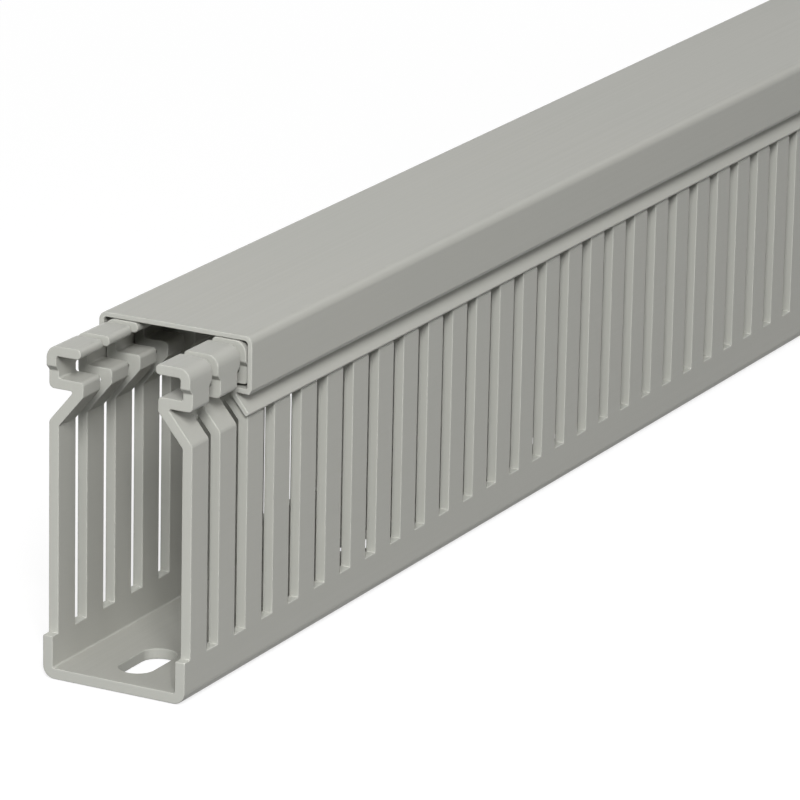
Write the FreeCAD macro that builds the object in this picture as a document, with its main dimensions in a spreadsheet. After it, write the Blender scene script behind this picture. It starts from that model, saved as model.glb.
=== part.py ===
import FreeCAD, Part
import os
import Sketcher

# Slotted wire duct: an extruded channel with fingered walls, and a cover that clips over its hooks.
# Millimetres. X across the duct, Y along it, Z up. The origin is the middle of the floor's underside.
# The near end is at -Y: there both walls begin in the middle of a slot, and the cover is slid back.

DRIVING_SIZES = {
    # both walls have a finger for each slot pitch of the duct's length
    "finger_count": 80,
    "slot_pitch": 12.5,
    # channel section, from the floor up
    "body_width": 37.2,
    "wall_thickness": 2.6,
    "floor_thickness": 2.6,
    "shoulder_height": 60.5,  # where the outside of the wall starts to lean in
    "lean_angle": 50.3,  # degrees above level
    "lean_rise": 7.7,  # from the shoulder to the ledge's underside
    "ledge_thickness": 2.5,
    "hook_opening": 5.5,  # from the ledge up to the lip
    "lip_thickness": 2.45,
    "hook_reach": 8.95,  # from the outside of the wall in to the lip's edge
    "floor_corner_radius": 3.0,
    # flats that break the edges of the finger heads, each touching the rounding that it stands for
    "ledge_bevel": 0.8,
    "hook_bevel": 1.75,
    "lip_bevel": 0.65,
    # slots, open at the top through a narrower neck
    "slot_width": 5.0,
    "slot_bottom": 10.2,
    "neck_width": 2.6,
    "neck_depth": 4.85,  # straight part, from the top of the hook down
    "neck_taper": 1.2,
    # oblong fixing holes in the floor
    "hole_width": 8.5,
    "hole_length": 18.0,
    "hole_pitch": 100.0,
    "hole_setback": 15.5,  # from the near end to the middle of the first hole
    # cover section
    "cover_thickness": 1.25,
    "cover_side_gap": 0.15,
    "cover_top_gap": 0.1,
    "arm_gap": 0.6,  # below the ledge
    "nose_standoff": 2.1,  # from the leaning wall to the fold, at the top of the arm
    "skirt_gap": 0.2,
    "skirt_lift": 0.4,  # from the shoulder up to the tip
    "cover_corner_radius": 1.8,
    "fold_radius": 1.2,
    "nose_radius": 0.9,
    # distance that the cover is slid back from the near end
    "cover_setback": 26.5,
}

# Places shared by the channel and the cover, as expressions of the sizes
DUCT_LENGTH = "(Sizes.finger_count * Sizes.slot_pitch)"
HALF_BODY = "Sizes.body_width / 2"
WALL_INSIDE = "(Sizes.body_width / 2 - Sizes.wall_thickness)"
LEDGE_HEIGHT = "(Sizes.shoulder_height + Sizes.lean_rise)"
LEDGE_TOP = f"({LEDGE_HEIGHT} + Sizes.ledge_thickness)"
LIP_BOTTOM = f"({LEDGE_TOP} + Sizes.hook_opening)"
BODY_HEIGHT = f"({LIP_BOTTOM} + Sizes.lip_thickness)"
LEAN_SLOPE = "tan(Sizes.lean_angle)"
LEAN_SINE = "sin(Sizes.lean_angle)"

V_AXIS = -2
H_AXIS = -1
ORIGIN_POINT = 1
START = 1
CENTRE = 3
CUT_MARGIN = 5.0

doc = FreeCAD.newDocument("SlottedWireDuct")


def make_sheet():
    sheet = doc.addObject("Spreadsheet::Sheet", "Sizes")
    for row, (alias, value) in enumerate(DRIVING_SIZES.items(), start=1):
        sheet.set(f"A{row}", alias)
        sheet.set(f"B{row}", str(value))
        sheet.setAlias(f"B{row}", alias)
    doc.recompute()


def new_sketch(body, name, plane_role):
    sketch = body.newObject("Sketcher::SketchObject", name)
    plane = [item for item in body.Origin.OriginFeatures if item.Role == plane_role][0]
    sketch.AttachmentSupport = [(plane, "")]
    sketch.MapMode = "FlatFace"
    return sketch


def value_of(sketch, expression):
    return float(sketch.evalExpression(expression))


def tie(sketch, kind, line, point, expression):
    """Hold one point's distance from the sketch's axes at an expression of the sizes."""
    value = value_of(sketch, expression)
    constraint = Sketcher.Constraint(kind, H_AXIS, ORIGIN_POINT, line, point, value)
    index = sketch.addConstraint(constraint)
    sketch.setExpression(f"Constraints[{index}]", expression)


def draw_mirrored_outline(sketch, corners):
    """Close an outline that is the same on both sides of the vertical axis.

    corners are the right-hand half's corners in order, each a pair of expressions.
    """
    right = []
    for across, up in corners:
        right.append(FreeCAD.Vector(value_of(sketch, across), value_of(sketch, up), 0))
    left = [FreeCAD.Vector(-point.x, point.y, 0) for point in reversed(right)]
    points = right + left
    count = len(points)
    for index, point in enumerate(points):
        following = points[(index + 1) % count]
        sketch.addGeometry(Part.LineSegment(point, following), False)
    for index in range(count):
        following = (index + 1) % count
        sketch.addConstraint(Sketcher.Constraint("Coincident", index, 2, following, START))
    for index, (across, up) in enumerate(corners):
        tie(sketch, "DistanceX", index, START, across)
        if up == "0":
            sketch.addConstraint(Sketcher.Constraint("PointOnObject", index, START, H_AXIS))
        else:
            tie(sketch, "DistanceY", index, START, up)
        opposite = count - 1 - index
        mirror = Sketcher.Constraint("Symmetric", index, START, opposite, START, V_AXIS)
        sketch.addConstraint(mirror)
    doc.recompute()


def extrude_along_duct(body, sketch, name):
    pad = body.newObject("PartDesign::Pad", name)
    pad.Profile = sketch
    pad.SideType = "Symmetric"
    pad.setExpression("Length", DUCT_LENGTH)
    doc.recompute()
    return pad


def dress_long_edges(body, sketch, name, kind, amount, corners):
    """Fillet or chamfer the edges that run the duct's length through the corners, on both sides."""
    base = body.Tip
    wanted = [(value_of(sketch, across), value_of(sketch, up)) for across, up in corners]
    names = []
    for number, edge in enumerate(base.Shape.Edges, start=1):
        first = edge.Vertexes[0].Point
        last = edge.Vertexes[-1].Point
        along = abs(first.x - last.x) < 1e-6 and abs(first.z - last.z) < 1e-6
        near = [1 for x, z in wanted if abs(abs(first.x) - x) < 1e-4 and abs(first.z - z) < 1e-4]
        if along and near:
            names.append(f"Edge{number}")
    if len(names) != 2 * len(corners):
        raise RuntimeError(f"{name} found {len(names)} edges for {len(corners)} pairs of corners")
    dressing = body.newObject(f"PartDesign::{kind}", name)
    dressing.Base = (base, names)
    dressing.setExpression("Radius" if kind == "Fillet" else "Size", amount)
    doc.recompute()


def round_long_edges(body, sketch, name, radius, corners):
    dress_long_edges(body, sketch, name, "Fillet", radius, corners)


def bevel_long_edges(body, sketch, name, length, corners):
    dress_long_edges(body, sketch, name, "Chamfer", length, corners)


def cut_row(body, sketch, name, axis, depth, pitch, count):
    """Cut the sketch through the body and repeat it along the duct."""
    before = body.Shape.Volume
    pocket = body.newObject("PartDesign::Pocket", name)
    pocket.Profile = sketch
    pocket.SideType = "Symmetric"
    pocket.setExpression("Length", depth)
    doc.recompute()
    if not pocket.Shape.Volume < before:
        raise RuntimeError(f"{name} removes nothing")
    row = body.newObject("PartDesign::LinearPattern", name + "Row")
    row.Originals = [pocket]
    row.Direction = (sketch, [axis])
    row.Mode = "Spacing"
    row.setExpression("Offset", pitch)
    row.setExpression("Occurrences", count)
    body.Tip = row
    doc.recompute()


def make_channel():
    body = doc.addObject("PartDesign::Body", "DuctBody")
    body.Label = "duct_body"

    section = new_sketch(body, "ChannelSection", "XZ_Plane")
    notch = f"{HALF_BODY} - Sizes.lean_rise / {LEAN_SLOPE}"
    inner_shoulder = "Sizes.shoulder_height - Sizes.wall_thickness * tan((90 - Sizes.lean_angle) / 2)"
    waist = f"({HALF_BODY} - Sizes.hook_reach)"
    waist_foot = f"{inner_shoulder} + ({WALL_INSIDE} - {waist}) * {LEAN_SLOPE}"

    floor_edge = (HALF_BODY, "0")
    shoulder = (HALF_BODY, "Sizes.shoulder_height")
    ledge_root = (notch, LEDGE_HEIGHT)
    ledge_edge = (HALF_BODY, LEDGE_HEIGHT)
    hook_edge = (HALF_BODY, BODY_HEIGHT)
    lip_upper = (waist, BODY_HEIGHT)
    lip_lower = (waist, LIP_BOTTOM)
    hook_roof = (WALL_INSIDE, LIP_BOTTOM)
    hook_floor = (WALL_INSIDE, LEDGE_TOP)
    waist_top = (waist, LEDGE_TOP)
    waist_bottom = (waist, waist_foot)
    wall_top = (WALL_INSIDE, inner_shoulder)
    wall_foot = (WALL_INSIDE, "Sizes.floor_thickness")
    draw_mirrored_outline(section, [
        floor_edge, shoulder, ledge_root, ledge_edge, hook_edge, lip_upper, lip_lower,
        hook_roof, hook_floor, waist_top, waist_bottom, wall_top, wall_foot,
    ])
    extrude_along_duct(body, section, "ChannelExtrusion")
    round_long_edges(body, section, "FloorCorners", "Sizes.floor_corner_radius", [floor_edge])
    bevel_long_edges(body, section, "LedgeEdges", "Sizes.ledge_bevel", [ledge_edge])
    bevel_long_edges(body, section, "HookEdges", "Sizes.hook_bevel", [hook_edge])
    bevel_long_edges(body, section, "Lips", "Sizes.lip_bevel", [lip_upper, lip_lower])

    # A slot's side view: straight up the finger, then tapering into the neck between two hook heads.
    slot = new_sketch(body, "SlotOutline", "YZ_Plane")
    slot.setExpression("AttachmentOffset.Base.x", f"-{DUCT_LENGTH} / 2")
    neck_foot = f"{BODY_HEIGHT} - Sizes.neck_depth"
    draw_mirrored_outline(slot, [
        ("Sizes.slot_width / 2", "Sizes.slot_bottom"),
        ("Sizes.slot_width / 2", f"{neck_foot} - Sizes.neck_taper"),
        ("Sizes.neck_width / 2", neck_foot),
        ("Sizes.neck_width / 2", f"{BODY_HEIGHT} + {CUT_MARGIN}"),
    ])
    through_walls = f"Sizes.body_width + {CUT_MARGIN}"
    slot_count = "Sizes.finger_count + 1"
    cut_row(body, slot, "Slot", "H_Axis", through_walls, "Sizes.slot_pitch", slot_count)

    hole = draw_fixing_hole(body)
    hole_room = f"({DUCT_LENGTH} - Sizes.hole_setback - Sizes.hole_length / 2)"
    hole_count = f"floor({hole_room} / Sizes.hole_pitch) + 1"
    through_floor = "2 * Sizes.floor_thickness + 1"
    cut_row(body, hole, "FixingHole", "V_Axis", through_floor, "Sizes.hole_pitch", hole_count)
    return body


def draw_fixing_hole(body):
    """Oblong hole that runs along the duct, the first one measured from the near end."""
    sketch = new_sketch(body, "FixingHoleOutline", "XY_Plane")
    sketch.setExpression("AttachmentOffset.Base.y", f"Sizes.hole_setback - {DUCT_LENGTH} / 2")
    radius = value_of(sketch, "Sizes.hole_width / 2")
    reach = value_of(sketch, "(Sizes.hole_length - Sizes.hole_width) / 2")
    upper = FreeCAD.Vector(0, reach, 0)
    lower = FreeCAD.Vector(0, -reach, 0)
    across = FreeCAD.Vector(radius, 0, 0)
    beyond = FreeCAD.Vector(0, radius, 0)
    far_arc = Part.Arc(upper + across, upper + beyond, upper - across)
    near_arc = Part.Arc(lower - across, lower - beyond, lower + across)
    sketch.addGeometry(far_arc, False)
    sketch.addGeometry(Part.LineSegment(upper - across, lower - across), False)
    sketch.addGeometry(near_arc, False)
    sketch.addGeometry(Part.LineSegment(lower + across, upper + across), False)
    sketch.addConstraint(Sketcher.Constraint("Tangent", 0, 2, 1, 1))
    sketch.addConstraint(Sketcher.Constraint("Tangent", 1, 2, 2, 1))
    sketch.addConstraint(Sketcher.Constraint("Tangent", 2, 2, 3, 1))
    sketch.addConstraint(Sketcher.Constraint("Tangent", 3, 2, 0, 1))
    sketch.addConstraint(Sketcher.Constraint("Symmetric", 0, CENTRE, 2, CENTRE, H_AXIS, ORIGIN_POINT))
    sketch.addConstraint(Sketcher.Constraint("PointOnObject", 0, CENTRE, V_AXIS))
    tie(sketch, "DistanceY", 0, CENTRE, "(Sizes.hole_length - Sizes.hole_width) / 2")
    width = sketch.addConstraint(Sketcher.Constraint("Radius", 0, radius))
    sketch.setExpression(f"Constraints[{width}]", "Sizes.hole_width / 2")
    doc.recompute()
    return sketch


def make_cover():
    body = doc.addObject("PartDesign::Body", "Cover")
    body.Label = "cover"

    section = new_sketch(body, "CoverSection", "XZ_Plane")
    inside = f"({HALF_BODY} + Sizes.cover_side_gap)"
    outside = f"{inside} + Sizes.cover_thickness"
    roof = f"{BODY_HEIGHT} + Sizes.cover_top_gap"
    top = f"{roof} + Sizes.cover_thickness"
    arm_top = f"({LEDGE_HEIGHT} - Sizes.arm_gap)"
    arm_bottom = f"({arm_top} - Sizes.cover_thickness)"
    # the skirt lies along the leaning wall, a gap away from it, and ends just above the shoulder
    skirt_line = f"({HALF_BODY} + Sizes.skirt_gap / {LEAN_SINE})"
    nose = f"({HALF_BODY} - ({arm_top} - Sizes.shoulder_height) / {LEAN_SLOPE} + Sizes.nose_standoff)"
    nose_foot = f"Sizes.shoulder_height + ({skirt_line} - {nose}) * {LEAN_SLOPE}"
    arm_root = (
        f"{skirt_line} + Sizes.cover_thickness / {LEAN_SINE}"
        f" - ({arm_bottom} - Sizes.shoulder_height) / {LEAN_SLOPE}"
    )
    tip = f"({skirt_line} - Sizes.skirt_lift / {LEAN_SLOPE})"
    tip_height = "(Sizes.shoulder_height + Sizes.skirt_lift)"
    tip_across = f"{tip} + Sizes.cover_thickness * {LEAN_SINE}"
    tip_up = f"{tip_height} + Sizes.cover_thickness * cos(Sizes.lean_angle)"

    top_edge = (outside, top)
    fold_edge = (outside, arm_bottom)
    skirt_root = (arm_root, arm_bottom)
    tip_outer = (tip_across, tip_up)
    tip_inner = (tip, tip_height)
    nose_lower = (nose, nose_foot)
    nose_upper = (nose, arm_top)
    arm_corner = (inside, arm_top)
    roof_corner = (inside, roof)
    draw_mirrored_outline(section, [
        top_edge, fold_edge, skirt_root, tip_outer, tip_inner,
        nose_lower, nose_upper, arm_corner, roof_corner,
    ])
    extrude_along_duct(body, section, "CoverExtrusion")
    round_long_edges(body, section, "CoverEdges", "Sizes.cover_corner_radius", [top_edge])
    inner_radius = "Sizes.cover_corner_radius - Sizes.cover_thickness"
    round_long_edges(body, section, "CoverInnerCorners", inner_radius, [roof_corner])
    round_long_edges(body, section, "Folds", "Sizes.fold_radius", [fold_edge])
    round_long_edges(body, section, "Noses", "Sizes.nose_radius", [nose_upper, nose_lower])
    body.setExpression("Placement.Base.y", "Sizes.cover_setback")
    doc.recompute()
    return body


def check(bodies):
    for item in doc.Objects:
        if "Invalid" in item.State or "Error" in item.State:
            raise RuntimeError(f"{item.Label} failed: {item.State}")
    for body in bodies:
        if body.Shape.isNull() or not body.Shape.isValid() or len(body.Shape.Solids) != 1:
            raise RuntimeError(f"{body.Label} is not one sound solid")


make_sheet()
pieces = [make_channel(), make_cover()]
check(pieces)
os.makedirs("parts", exist_ok=True)
for piece in pieces:
    piece.Shape.exportStep(f"parts/{piece.Label}.step")
    box = piece.Shape.BoundBox
    print(f"{piece.Label}: {box.XLength:.2f} x {box.YLength:.2f} x {box.ZLength:.2f} mm")
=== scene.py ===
import math
import bmesh
import bpy
from mathutils import Matrix, Vector


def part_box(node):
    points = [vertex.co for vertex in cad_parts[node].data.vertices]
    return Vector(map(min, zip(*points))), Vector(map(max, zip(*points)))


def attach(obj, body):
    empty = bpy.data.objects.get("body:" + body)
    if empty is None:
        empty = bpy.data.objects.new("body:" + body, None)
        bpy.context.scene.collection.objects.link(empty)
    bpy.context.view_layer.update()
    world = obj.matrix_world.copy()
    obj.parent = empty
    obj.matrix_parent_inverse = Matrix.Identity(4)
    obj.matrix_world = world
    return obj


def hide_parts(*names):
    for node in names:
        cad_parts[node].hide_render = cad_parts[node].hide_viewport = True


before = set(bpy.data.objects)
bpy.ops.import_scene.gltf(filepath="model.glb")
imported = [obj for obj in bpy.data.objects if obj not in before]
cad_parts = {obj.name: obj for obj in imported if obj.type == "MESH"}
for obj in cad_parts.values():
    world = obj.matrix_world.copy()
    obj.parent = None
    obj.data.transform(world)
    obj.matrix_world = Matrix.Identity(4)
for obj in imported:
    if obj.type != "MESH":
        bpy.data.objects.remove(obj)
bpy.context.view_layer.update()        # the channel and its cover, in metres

# Slotted wire duct in stone grey hard PVC: a fingered channel, and a clip-over cover
# that is slid back from the near end.
# x goes across the duct, y along it away from the near end, z up from the floor's underside.

mm = 0.001
ductLow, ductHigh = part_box("duct_body")
coverLow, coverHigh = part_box("cover")
nearEnd = ductLow.y                 # near cut end of the channel
topOfHooks = ductHigh.z
finestTurn = math.radians(15)       # most that one step of a rounding turns
straightOn = 1e-5                   # a corner that turns less than this stays as it is
sameHeight = 1e-7                   # heights closer than this are one
sharpEdge = math.radians(40)        # edges that turn more than this are broken
edgeSteps = 2                       # facets across a broken edge


def roundCorner(before, corner, after, radius):
    # the arc that rounds one corner of an outline
    inward = (corner - before).normalized()
    outward = (after - corner).normalized()
    turn = inward.angle(outward)
    if radius == 0 or turn < straightOn:
        return [corner]
    side = 1 if inward.x * outward.y > inward.y * outward.x else -1
    start = corner - inward * radius * math.tan(turn / 2)
    centre = start + Vector((-inward.y, inward.x)) * radius * side
    spoke = start - centre
    steps = max(2, math.ceil(turn / finestTurn))
    points = []
    for step in range(steps + 1):
        points.append(centre + Matrix.Rotation(side * turn * step / steps, 2) @ spoke)
    return points


def drawOutline(corners, closed):
    # corners are (across, up, radius); the ends of an open outline stay as they are
    places = [Vector(corner[:2]) for corner in corners]
    last = len(corners) - 1
    points = []
    for index, corner in enumerate(corners):
        if not closed and index in (0, last):
            points.append(places[index])
            continue
        after = places[(index + 1) % len(places)]
        points += roundCorner(places[index - 1], places[index], after, corner[2])
    return points


def mirrorCorners(corners):
    return corners + [(-across, up, radius) for across, up, radius in reversed(corners)]


def meshObject(name, verts, faces, materials, faceMaterials):
    mesh = bpy.data.meshes.new(name)
    mesh.from_pydata([tuple(vert) for vert in verts], [], faces)
    for material in materials:
        mesh.materials.append(material)
    mesh.polygons.foreach_set("material_index", faceMaterials)
    bm = bmesh.new()
    bm.from_mesh(mesh)
    bmesh.ops.recalc_face_normals(bm, faces=bm.faces)
    bm.to_mesh(mesh)
    bm.free()
    obj = bpy.data.objects.new(name, mesh)
    bpy.context.scene.collection.objects.link(obj)
    return obj


def applyModifiers(obj):
    depsgraph = bpy.context.evaluated_depsgraph_get()
    mesh = bpy.data.meshes.new_from_object(obj.evaluated_get(depsgraph))
    obj.modifiers.clear()
    obj.data = mesh
    mesh.name = obj.name


def breakEdges(obj, width):
    # the hair-fine rounding that every cut edge of the plastic has
    bevel = obj.modifiers.new("edgeBreak", "BEVEL")
    bevel.width = width
    bevel.segments = edgeSteps
    bevel.limit_method = "ANGLE"
    bevel.angle_limit = sharpEdge
    bevel.use_clamp_overlap = False
    applyModifiers(obj)
    obj.data.polygons.foreach_set("use_smooth", [True] * len(obj.data.polygons))
    normals = obj.modifiers.new("flatFaces", "WEIGHTED_NORMAL")
    normals.weight = 100            # the large faces alone set the shading
    normals.mode = "FACE_AREA"
    applyModifiers(obj)


plastic = {
    "grey": (0.405, 0.408, 0.376, 1.0),
    "greyWarm": (0.418, 0.414, 0.380, 1.0),   # the tone that it drifts to, along and across
    "driftScale": 22.0,
    "grain": 0.0045 * mm,                     # height of the drawn lines
    "grainScale": 1400.0,
    "grainStretch": 0.004,                    # how slowly they change along the duct
    "peel": 0.010 * mm,                       # height of the soft unevenness
    "peelScale": 700.0,
    "roughLow": 0.41,
    "roughHigh": 0.50,
    "shine": 0.20,
    "ior": 1.53,
}
noiseLow = 0.3                      # most of a noise lies between these two
noiseHigh = 0.7


def startMaterial(name, shine):
    material = bpy.data.materials.new(name)
    material.use_nodes = True
    nodes = material.node_tree.nodes
    surface = nodes["Principled BSDF"]
    surface.inputs["IOR"].default_value = plastic["ior"]
    surface.inputs["Specular IOR Level"].default_value = shine
    place = nodes.new("ShaderNodeTexCoord").outputs["Object"]
    return material, surface, place


def addStretch(material, vector, scale):
    stretch = material.node_tree.nodes.new("ShaderNodeMapping")
    stretch.inputs["Scale"].default_value = scale
    material.node_tree.links.new(vector, stretch.inputs["Vector"])
    return stretch.outputs["Vector"]


def addNoise(material, vector, scale, detail=3.0):
    noise = material.node_tree.nodes.new("ShaderNodeTexNoise")
    noise.inputs["Scale"].default_value = scale
    noise.inputs["Detail"].default_value = detail
    material.node_tree.links.new(vector, noise.inputs["Vector"])
    return noise.outputs["Fac"]


def addTone(material, factor, first, second):
    tone = material.node_tree.nodes.new("ShaderNodeMix")
    tone.data_type = "RGBA"
    tone.inputs["A"].default_value = first
    tone.inputs["B"].default_value = second
    material.node_tree.links.new(factor, tone.inputs["Factor"])
    return tone.outputs["Result"]


def addBump(material, height, distance, under=None):
    # under is the normal of a coarser bump that this one lies on
    bump = material.node_tree.nodes.new("ShaderNodeBump")
    bump.inputs["Distance"].default_value = distance
    material.node_tree.links.new(height, bump.inputs["Height"])
    if under:
        material.node_tree.links.new(under, bump.inputs["Normal"])
    return bump.outputs["Normal"]


def drawnPlastic(name):
    # skin of an extrusion: lines drawn out along y, a soft unevenness and a slight drift of the grey
    material, surface, place = startMaterial(name, plastic["shine"])
    links = material.node_tree.links
    drawnOut = addStretch(material, place, (1.0, plastic["grainStretch"], 1.0))
    lines = addNoise(material, drawnOut, plastic["grainScale"])
    peel = addNoise(material, place, plastic["peelScale"], detail=2.0)
    drift = addNoise(material, place, plastic["driftScale"])
    tone = addTone(material, drift, plastic["grey"], plastic["greyWarm"])
    links.new(tone, surface.inputs["Base Color"])

    gloss = material.node_tree.nodes.new("ShaderNodeMapRange")
    gloss.inputs["From Min"].default_value = noiseLow
    gloss.inputs["From Max"].default_value = noiseHigh
    gloss.inputs["To Min"].default_value = plastic["roughLow"]
    gloss.inputs["To Max"].default_value = plastic["roughHigh"]
    links.new(lines, gloss.inputs["Value"])
    links.new(gloss.outputs["Result"], surface.inputs["Roughness"])

    peelBump = addBump(material, peel, plastic["peel"])
    lineBump = addBump(material, lines, plastic["grain"], under=peelBump)
    links.new(lineBump, surface.inputs["Normal"])
    return material


# Both cut greys are lighter than the skin's grey, partly as paler cut plastic and partly as painted
# light on faces turned to the lamps; the ends are a shade lighter than the slots as painted shade in
# the slots.
cut = {
    "sawn": (0.466, 0.469, 0.433, 1.0),       # the two ends
    "punched": (0.462, 0.465, 0.427, 1.0),    # the slots and the holes
    "paler": 1.05,                            # how much the marks lighten it
    "roughness": 0.62,
    "shine": 0.20,
    "scratch": 0.02 * mm,                     # depth of the marks
    "scratchScale": 2200.0,
    "scratchStretch": 0.05,                   # how slowly they change along their run
}


def cutPlastic(name, grey, stretchTo):
    # sawn ends and punched slots: duller, with fine marks that run one way, and paler than the skin,
    # partly as cut plastic and partly as painted light on faces turned to the lamps
    material, surface, place = startMaterial(name, cut["shine"])
    links = material.node_tree.links
    surface.inputs["Roughness"].default_value = cut["roughness"]
    marks = addNoise(material, addStretch(material, place, stretchTo), cut["scratchScale"])
    pale = [part * cut["paler"] for part in grey[:3]] + [1.0]
    links.new(addTone(material, marks, grey, pale), surface.inputs["Base Color"])
    links.new(addBump(material, marks, cut["scratch"]), surface.inputs["Normal"])
    return material


channel = {
    "fingers": 80,
    "pitch": 12.5 * mm,
    "wall": 2.6 * mm,
    "floor": 2.6 * mm,
    "shoulder": 60.5 * mm,          # height where the wall leans in
    "lean": math.radians(50.3),     # from level
    "leanRise": 7.7 * mm,
    "ledge": 2.5 * mm,
    "hookOpening": 5.5 * mm,        # from the ledge up to the lip
    "hookReach": 8.95 * mm,         # from the outside of the wall to the lip's edge
    "slotWidth": 5.0 * mm,
    "slotBottom": 10.2 * mm,
    "neckWidth": 2.6 * mm,          # what the finger heads leave of a slot
    "neckDepth": 4.85 * mm,         # down from the top of the hooks
    "neckTaper": 1.2 * mm,          # height in which it widens to the slot
    "floorCornerRound": 3.0 * mm,
    "shoulderRound": 1.5 * mm,
    "notchRound": 0.4 * mm,
    "ledgeRound": 1.3 * mm,
    "hookRound": 3.0 * mm,
    "lipRound": 1.1 * mm,
    "waistRound": 1.0 * mm,
    "innerRound": 0.5 * mm,
    "edgeBreak": 0.25 * mm,
}
fixingHoles = {
    "width": 8.5 * mm,
    "length": 18.0 * mm,
    "pitch": 100.0 * mm,
    "setback": 15.5 * mm,           # first hole's middle from the near end
    "count": 10,
    "steps": 12,                    # facets of each rounded end
}
wallOut = ductHigh.x
wallIn = wallOut - channel["wall"]
ledgeHeight = channel["shoulder"] + channel["leanRise"]
leanSlope = math.tan(channel["lean"])
neckFoot = topOfHooks - channel["neckDepth"]
taperFoot = neckFoot - channel["neckTaper"]

# places of the materials on the channel
drawn = 0
punched = 1
sawn = 2


def fingerProfile():
    # side view of one finger on the right wall, from the outer foot over the hook to the inner foot
    lip = wallOut - channel["hookReach"]
    ledgeTop = ledgeHeight + channel["ledge"]
    lipBottom = ledgeTop + channel["hookOpening"]
    halfBend = (math.pi / 2 - channel["lean"]) / 2
    innerShoulder = channel["shoulder"] - channel["wall"] * math.tan(halfBend)
    waistFoot = innerShoulder + (wallIn - lip) * leanSlope
    return drawOutline([
        (wallOut, channel["slotBottom"], 0),
        (wallOut, channel["shoulder"], channel["shoulderRound"]),
        (wallOut - channel["leanRise"] / leanSlope, ledgeHeight, channel["notchRound"]),
        (wallOut, ledgeHeight, channel["ledgeRound"]),
        (wallOut, taperFoot, 0),
        (wallOut, neckFoot, 0),
        (wallOut, topOfHooks, channel["hookRound"]),
        (lip, topOfHooks, channel["lipRound"]),
        (lip, lipBottom, channel["lipRound"]),
        (wallIn, lipBottom, channel["innerRound"]),
        (wallIn, neckFoot, 0),
        (wallIn, taperFoot, 0),
        (wallIn, ledgeTop, channel["innerRound"]),
        (lip, ledgeTop, channel["waistRound"]),
        (lip, waistFoot, channel["waistRound"]),
        (wallIn, innerShoulder, channel["innerRound"]),
        (wallIn, channel["slotBottom"], 0),
    ], closed=False)


def troughOutline():
    # floor and the low walls under the slots, all the way round
    foot = channel["slotBottom"]
    corner = channel["floorCornerRound"]
    inner = channel["innerRound"]
    return drawOutline([
        (wallOut, foot, 0),
        (wallOut, 0, corner),
        (-wallOut, 0, corner),
        (-wallOut, foot, 0),
        (-wallIn, foot, 0),
        (-wallIn, channel["floor"], inner),
        (wallIn, channel["floor"], inner),
        (wallIn, foot, 0),
    ], closed=True)


def findRim(trough):
    # which sides of the trough's outline are the level tops of its low walls
    rim = []
    for index, point in enumerate(trough):
        following = trough[(index + 1) % len(trough)]
        onTop = abs(point.y - channel["slotBottom"]) < sameHeight
        level = abs(following.y - point.y) < sameHeight
        short = abs(point.x - following.x) < 2 * channel["wall"]
        rim.append(onTop and level and short)
    return rim


def slotStations():
    # along y: the near end, both sides of every finger, and the far end
    slotHalf = channel["slotWidth"] / 2
    stations = [nearEnd]
    for finger in range(channel["fingers"]):
        start = nearEnd + finger * channel["pitch"]
        stations += [start + slotHalf, start + channel["pitch"] - slotHalf]
    return stations + [ductHigh.y]


def headGain(z):
    # how far the head of a finger reaches into the slot beside it
    share = min(1, max(0, (z - taperFoot) / (neckFoot - taperFoot)))
    return share * (channel["slotWidth"] - channel["neckWidth"]) / 2


def buildChannel(skin, slotFace, sawnFace):
    trough = troughOutline()
    profile = fingerProfile()
    stations = slotStations()
    rim = findRim(trough)
    ringSize = len(trough)
    verts = [Vector((point.x, y, point.y)) for y in stations for point in trough]
    faces = []
    faceMaterials = []

    def addFace(corners, material):
        faces.append(corners)
        faceMaterials.append(material)

    # the trough: its rim is left open where a finger stands on it
    for ring in range(len(stations) - 1):
        underFinger = ring % 2 == 1
        here = ring * ringSize
        beyond = here + ringSize
        for index in range(ringSize):
            if rim[index] and underFinger:
                continue
            following = (index + 1) % ringSize
            quad = (here + index, here + following, beyond + following, beyond + index)
            addFace(quad, punched if rim[index] else drawn)
    addFace(tuple(range(ringSize)), sawn)
    addFace(tuple(range(len(verts) - ringSize, len(verts))), sawn)

    def footIndex(x):
        # corner of the rim that a finger grows from
        foot = Vector((x, channel["slotBottom"]))
        return min(range(ringSize), key=lambda i: (trough[i] - foot).length)

    # the fingers: each side face is parted where the taper starts and where it ends
    lowEnd = [i for i, point in enumerate(profile) if abs(point.y - taperFoot) < sameHeight]
    highEnd = [i for i, point in enumerate(profile) if abs(point.y - neckFoot) < sameHeight]
    last = len(profile) - 1
    for finger in range(channel["fingers"]):
        for side in (1, -1):
            edges = []
            for end, ring in ((-1, 1 + 2 * finger), (1, 2 + 2 * finger)):
                row = [ring * ringSize + footIndex(side * wallOut)]
                for point in profile[1:last]:
                    row.append(len(verts))
                    y = stations[ring] + end * headGain(point.y)
                    verts.append(Vector((side * point.x, y, point.y)))
                row.append(ring * ringSize + footIndex(side * wallIn))
                edges.append(row)
            near, far = edges
            for index in range(last):
                addFace((near[index], near[index + 1], far[index + 1], far[index]), drawn)
            for row in edges:
                addFace(tuple(row[:lowEnd[0] + 1] + row[lowEnd[1]:]), punched)
                addFace((row[lowEnd[0]], row[highEnd[0]], row[highEnd[1]], row[lowEnd[1]]), punched)
                addFace(tuple(row[highEnd[0]:highEnd[1] + 1]), punched)
    return meshObject("ductChannel", verts, faces, [skin, slotFace, sawnFace], faceMaterials)


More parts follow.
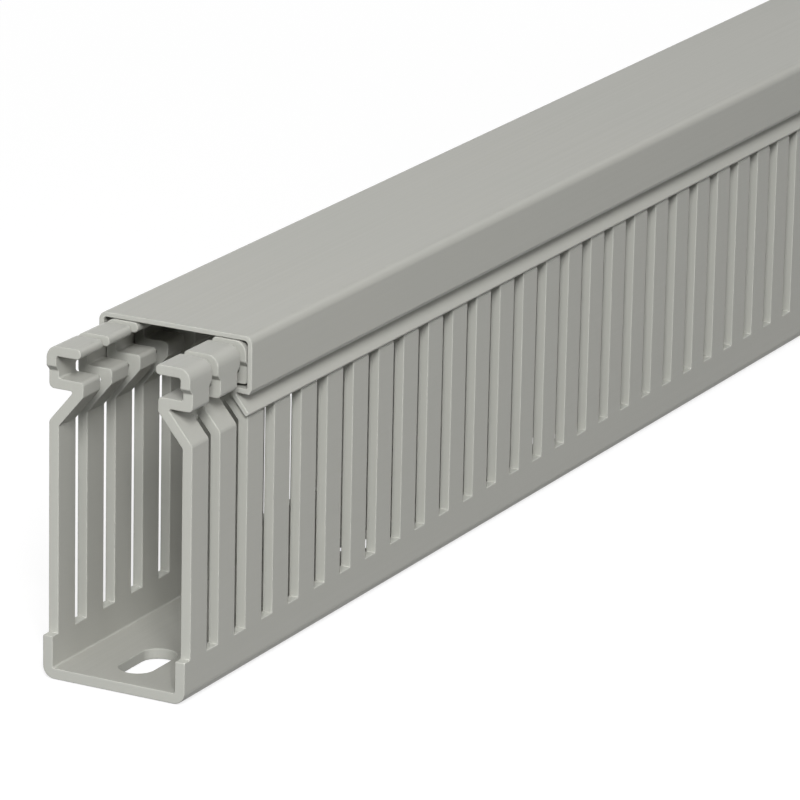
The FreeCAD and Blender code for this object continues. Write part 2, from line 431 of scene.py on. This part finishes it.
def buildHoleCutters(slotFace):
    # one tall oblong plug for each fixing hole
    radius = fixingHoles["width"] / 2
    reach = fixingHoles["length"] / 2 - radius
    ring = []
    for step in range(fixingHoles["steps"] + 1):
        angle = math.pi * step / fixingHoles["steps"]
        ring.append((radius * math.cos(angle), reach + radius * math.sin(angle)))
    ring += [(-x, -y) for x, y in ring]
    size = len(ring)
    verts = []
    faces = []
    for hole in range(fixingHoles["count"]):
        middle = nearEnd + fixingHoles["setback"] + hole * fixingHoles["pitch"]
        low = len(verts)
        high = low + size
        for z in (-channel["floor"], 2 * channel["floor"]):
            verts += [Vector((x, middle + y, z)) for x, y in ring]
        faces.append(tuple(range(low, high)))
        faces.append(tuple(range(high, high + size)))
        for index in range(size):
            following = (index + 1) % size
            faces.append((low + index, low + following, high + following, high + index))
    return meshObject("holeCutters", verts, faces, [slotFace, slotFace], [punched] * len(faces))


def punchHoles(duct, slotFace):
    cutters = buildHoleCutters(slotFace)
    punch = duct.modifiers.new("fixingHoles", "BOOLEAN")
    punch.operation = "DIFFERENCE"
    punch.solver = "EXACT"
    punch.object = cutters
    applyModifiers(duct)
    bpy.data.objects.remove(cutters)


cover = {
    "thickness": 1.25 * mm,
    "armGap": 0.6 * mm,             # below the ledge
    "noseStandoff": 2.1 * mm,       # from the leaning wall to the fold between arm and skirt
    "skirtLift": 0.4 * mm,          # from the shoulder up to the skirt's tip
    "skirtGap": 0.2 * mm,           # off the leaning wall
    "cornerRound": 2.0 * mm,
    "footRise": 0.95 * mm,          # the side wall's foot draws in from this far above the arm
    "footDrop": 0.15 * mm,          # and ends this far below it
    "footDraw": 0.70 * mm,
    "foldRound": 0.6 * mm,
    "noseRound": 0.9 * mm,
    "rootRound": 0.35 * mm,
    "tipRound": 0.35 * mm,
    "edgeBreak": 0.22 * mm,
}


def coverOutline():
    thickness = cover["thickness"]
    outside = coverHigh.x
    inside = outside - thickness
    roof = coverHigh.z - thickness
    armTop = ledgeHeight - cover["armGap"]
    armBottom = armTop - thickness
    leanSine = math.sin(channel["lean"])
    skirtFoot = wallOut + cover["skirtGap"] / leanSine
    nose = wallOut - (armTop - channel["shoulder"]) / leanSlope + cover["noseStandoff"]
    noseFoot = channel["shoulder"] + (skirtFoot - nose) * leanSlope
    root = skirtFoot + thickness / leanSine - (armBottom - channel["shoulder"]) / leanSlope
    tip = skirtFoot - cover["skirtLift"] / leanSlope
    tipHeight = channel["shoulder"] + cover["skirtLift"]
    tipOut = tip + thickness * leanSine
    tipUp = tipHeight + thickness * math.cos(channel["lean"])
    return drawOutline(mirrorCorners([
        (outside, coverHigh.z, cover["cornerRound"]),
        (outside, armBottom + cover["footRise"], cover["foldRound"]),
        (outside - cover["footDraw"], armBottom - cover["footDrop"], cover["tipRound"]),
        (root, armBottom, cover["rootRound"]),
        (tipOut, tipUp, cover["tipRound"]),
        (tip, tipHeight, cover["tipRound"]),
        (nose, noseFoot, cover["noseRound"]),
        (nose, armTop, cover["noseRound"]),
        (inside, armTop, cover["rootRound"]),
        (inside, roof, cover["cornerRound"] - thickness),
    ]), closed=True)


def buildCover(skin, sawnFace):
    outline = coverOutline()
    size = len(outline)
    verts = [Vector((point.x, y, point.y)) for y in (coverLow.y, coverHigh.y) for point in outline]
    faces = [tuple(range(size)), tuple(range(size, 2 * size))]
    for index in range(size):
        following = (index + 1) % size
        faces.append((index, following, size + following, size + index))
    faceMaterials = [1, 1] + [0] * size      # the two sawn ends, then the skin
    return meshObject("clipCover", verts, faces, [skin, sawnFace], faceMaterials)


skin = drawnPlastic("stoneGreyDrawn")
# cut faces: greys partly lightened as painted light, with the ends a shade lighter than the slots as
# painted shade in the slots
slotFace = cutPlastic("stoneGreyPunchedPaintedLight", cut["punched"], (1.0, 1.0, cut["scratchStretch"]))
sawnFace = cutPlastic("stoneGreySawnPaintedLight", cut["sawn"], (cut["scratchStretch"], 1.0, 1.0))
duct = buildChannel(skin, slotFace, sawnFace)
punchHoles(duct, slotFace)
breakEdges(duct, channel["edgeBreak"])
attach(duct, "duct")
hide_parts("duct_body")
print("channel built:", len(duct.data.polygons), "faces")

lid = buildCover(skin, sawnFace)
breakEdges(lid, cover["edgeBreak"])
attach(lid, "cover")
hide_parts("cover")
print("cover built:", len(lid.data.polygons), "faces")


studio = {
    "skyLevel": 0.155,              # light from all round
    "floorSize": 12.0,
    "floorDrop": 0.2 * mm,          # keeps the floor off the duct's underside
    "floorGrey": 0.13,              # what the floor throws back up
    "floorWhite": 0.98,             # what the camera sees of it
    "floorShadow": 0.30,            # how much of the floor's own shading shows
    "floorLift": 0.30,              # glow added to that shading, so that it stays pale
    "shadowNear": 0.3,              # the shading fades out between these distances
    "shadowFar": 0.8,               # from the near end
}
lamps = {
    # each lights the duct at along from the near end, and from is the direction back to the lamp
    "key": {"power": 49.0, "size": 0.9, "distance": 2.2, "along": 0.0, "from": (0.40, -0.66, 0.63)},
    "fill": {"power": 13.0, "size": 1.4, "distance": 2.6, "along": 0.0, "from": (0.88, -0.26, 0.32)},
    "front": {"power": 10.0, "size": 1.2, "distance": 2.6, "along": 0.0, "from": (-0.04, -0.95, 0.30)},
    "back": {"power": 11.0, "size": 1.6, "distance": 4.5, "along": 0.3, "from": (0.10, 0.85, 0.50)},
    "behind": {"power": 34.0, "size": 1.6, "distance": 3.0, "along": 0.5, "from": (-0.84, 0.50, 0.15)},
}
white = (1.0, 1.0, 1.0, 1.0)


def seenDirectly(nodes, links):
    # 1 for what the camera sees, straight on, mirrored or through glass
    path = nodes.new("ShaderNodeLightPath")
    first = nodes.new("ShaderNodeMath")
    first.operation = "MAXIMUM"
    second = nodes.new("ShaderNodeMath")
    second.operation = "MAXIMUM"
    links.new(path.outputs["Is Camera Ray"], first.inputs[0])
    links.new(path.outputs["Is Glossy Ray"], first.inputs[1])
    links.new(first.outputs["Value"], second.inputs[0])
    links.new(path.outputs["Is Transmission Ray"], second.inputs[1])
    return second.outputs["Value"]


def lightSky():
    # a dim even sky that the camera sees as plain white
    world = bpy.data.worlds.new("studioSky")
    bpy.context.scene.world = world
    world.use_nodes = True
    nodes = world.node_tree.nodes
    links = world.node_tree.links
    sky = nodes["Background"]
    sky.inputs["Color"].default_value = white
    sky.inputs["Strength"].default_value = studio["skyLevel"]
    backdrop = nodes.new("ShaderNodeBackground")
    backdrop.inputs["Color"].default_value = white
    backdrop.inputs["Strength"].default_value = 1.0
    choose = nodes.new("ShaderNodeMixShader")
    links.new(seenDirectly(nodes, links), choose.inputs["Fac"])
    links.new(sky.outputs["Background"], choose.inputs[1])
    links.new(backdrop.outputs["Background"], choose.inputs[2])
    links.new(choose.outputs["Shader"], nodes["World Output"].inputs["Surface"])


def floorShading(nodes, links, fade):
    # what the camera sees of the floor: white, with the object's soft shadow near it
    bright = nodes.new("ShaderNodeBsdfDiffuse")
    bright.inputs["Color"].default_value = (studio["floorWhite"],) * 3 + (1.0,)
    glow = nodes.new("ShaderNodeEmission")
    glow.inputs["Strength"].default_value = 1.0
    lift = nodes.new("ShaderNodeEmission")
    lift.inputs["Strength"].default_value = studio["floorLift"]
    lit = nodes.new("ShaderNodeAddShader")
    links.new(bright.outputs["BSDF"], lit.inputs[0])
    links.new(lift.outputs["Emission"], lit.inputs[1])
    shadow = nodes.new("ShaderNodeMixShader")
    links.new(fade, shadow.inputs["Fac"])
    links.new(glow.outputs["Emission"], shadow.inputs[1])
    links.new(lit.outputs["Shader"], shadow.inputs[2])
    return shadow.outputs["Shader"]


def shadowFade(nodes, links):
    # full around the near end, and gone further off
    place = nodes.new("ShaderNodeTexCoord")
    away = nodes.new("ShaderNodeVectorMath")
    away.operation = "DISTANCE"
    away.inputs[1].default_value = (0, nearEnd, 0)
    links.new(place.outputs["Object"], away.inputs[0])
    fade = nodes.new("ShaderNodeMapRange")
    fade.inputs["From Min"].default_value = studio["shadowNear"]
    fade.inputs["From Max"].default_value = studio["shadowFar"]
    fade.inputs["To Min"].default_value = studio["floorShadow"]
    fade.inputs["To Max"].default_value = 0.0
    links.new(away.outputs["Value"], fade.inputs["Value"])
    return fade.outputs["Result"]


def layFloor():
    material = bpy.data.materials.new("paleFloor")
    material.use_nodes = True
    nodes = material.node_tree.nodes
    links = material.node_tree.links
    nodes.remove(nodes["Principled BSDF"])
    matt = nodes.new("ShaderNodeBsdfDiffuse")
    matt.inputs["Color"].default_value = (studio["floorGrey"],) * 3 + (1.0,)
    choose = nodes.new("ShaderNodeMixShader")
    links.new(seenDirectly(nodes, links), choose.inputs["Fac"])
    links.new(matt.outputs["BSDF"], choose.inputs[1])
    links.new(floorShading(nodes, links, shadowFade(nodes, links)), choose.inputs[2])
    links.new(choose.outputs["Shader"], nodes["Material Output"].inputs["Surface"])
    half = studio["floorSize"] / 2
    corners = [(-half, -half, 0), (half, -half, 0), (half, half, 0), (-half, half, 0)]
    floor = meshObject("floor", corners, [(0, 1, 2, 3)], [material], [0])
    floor.location.z = -studio["floorDrop"]


def hangLamp(name):
    values = lamps[name]
    lamp = bpy.data.lights.new(name, "AREA")
    lamp.shape = "DISK"
    lamp.size = values["size"]
    lamp.energy = values["power"]
    obj = bpy.data.objects.new(name, lamp)
    bpy.context.scene.collection.objects.link(obj)
    aim = Vector((0, nearEnd + values["along"], 0.5 * topOfHooks))
    towards = Vector(values["from"]).normalized()
    obj.location = aim + towards * values["distance"]
    obj.rotation_euler = towards.to_track_quat("Z", "Y").to_euler()


view = {
    "sensor": 36.0,
    "lens": 259.28,
    "azimuth": math.radians(27.739),
    "elevation": math.radians(17.313),
    "roll": math.radians(1.198),
    # from the middle of the near end's underside
    "position": (625.14 * mm, -1052.46 * mm, 451.45 * mm),
}


def placeCamera():
    camera = bpy.data.cameras.new("camera")
    camera.sensor_width = view["sensor"]
    camera.lens = view["lens"]
    obj = bpy.data.objects.new("camera", camera)
    bpy.context.scene.collection.objects.link(obj)
    level = math.cos(view["elevation"])
    across = math.sin(view["azimuth"]) * level
    along = -math.cos(view["azimuth"]) * level
    back = Vector((across, along, math.sin(view["elevation"])))
    right = Vector((0, 0, 1)).cross(back).normalized()
    up = back.cross(right)
    turned = Matrix.Rotation(view["roll"], 3, back)
    pose = Matrix((turned @ right, turned @ up, back)).transposed().to_4x4()
    pose.translation = Vector(view["position"]) + Vector((0, nearEnd, 0))
    obj.matrix_world = pose
    bpy.context.scene.camera = obj


lightSky()
layFloor()
for lampName in lamps:
    hangLamp(lampName)
placeCamera()
bpy.context.scene.view_settings.view_transform = "Standard"
print("studio ready")
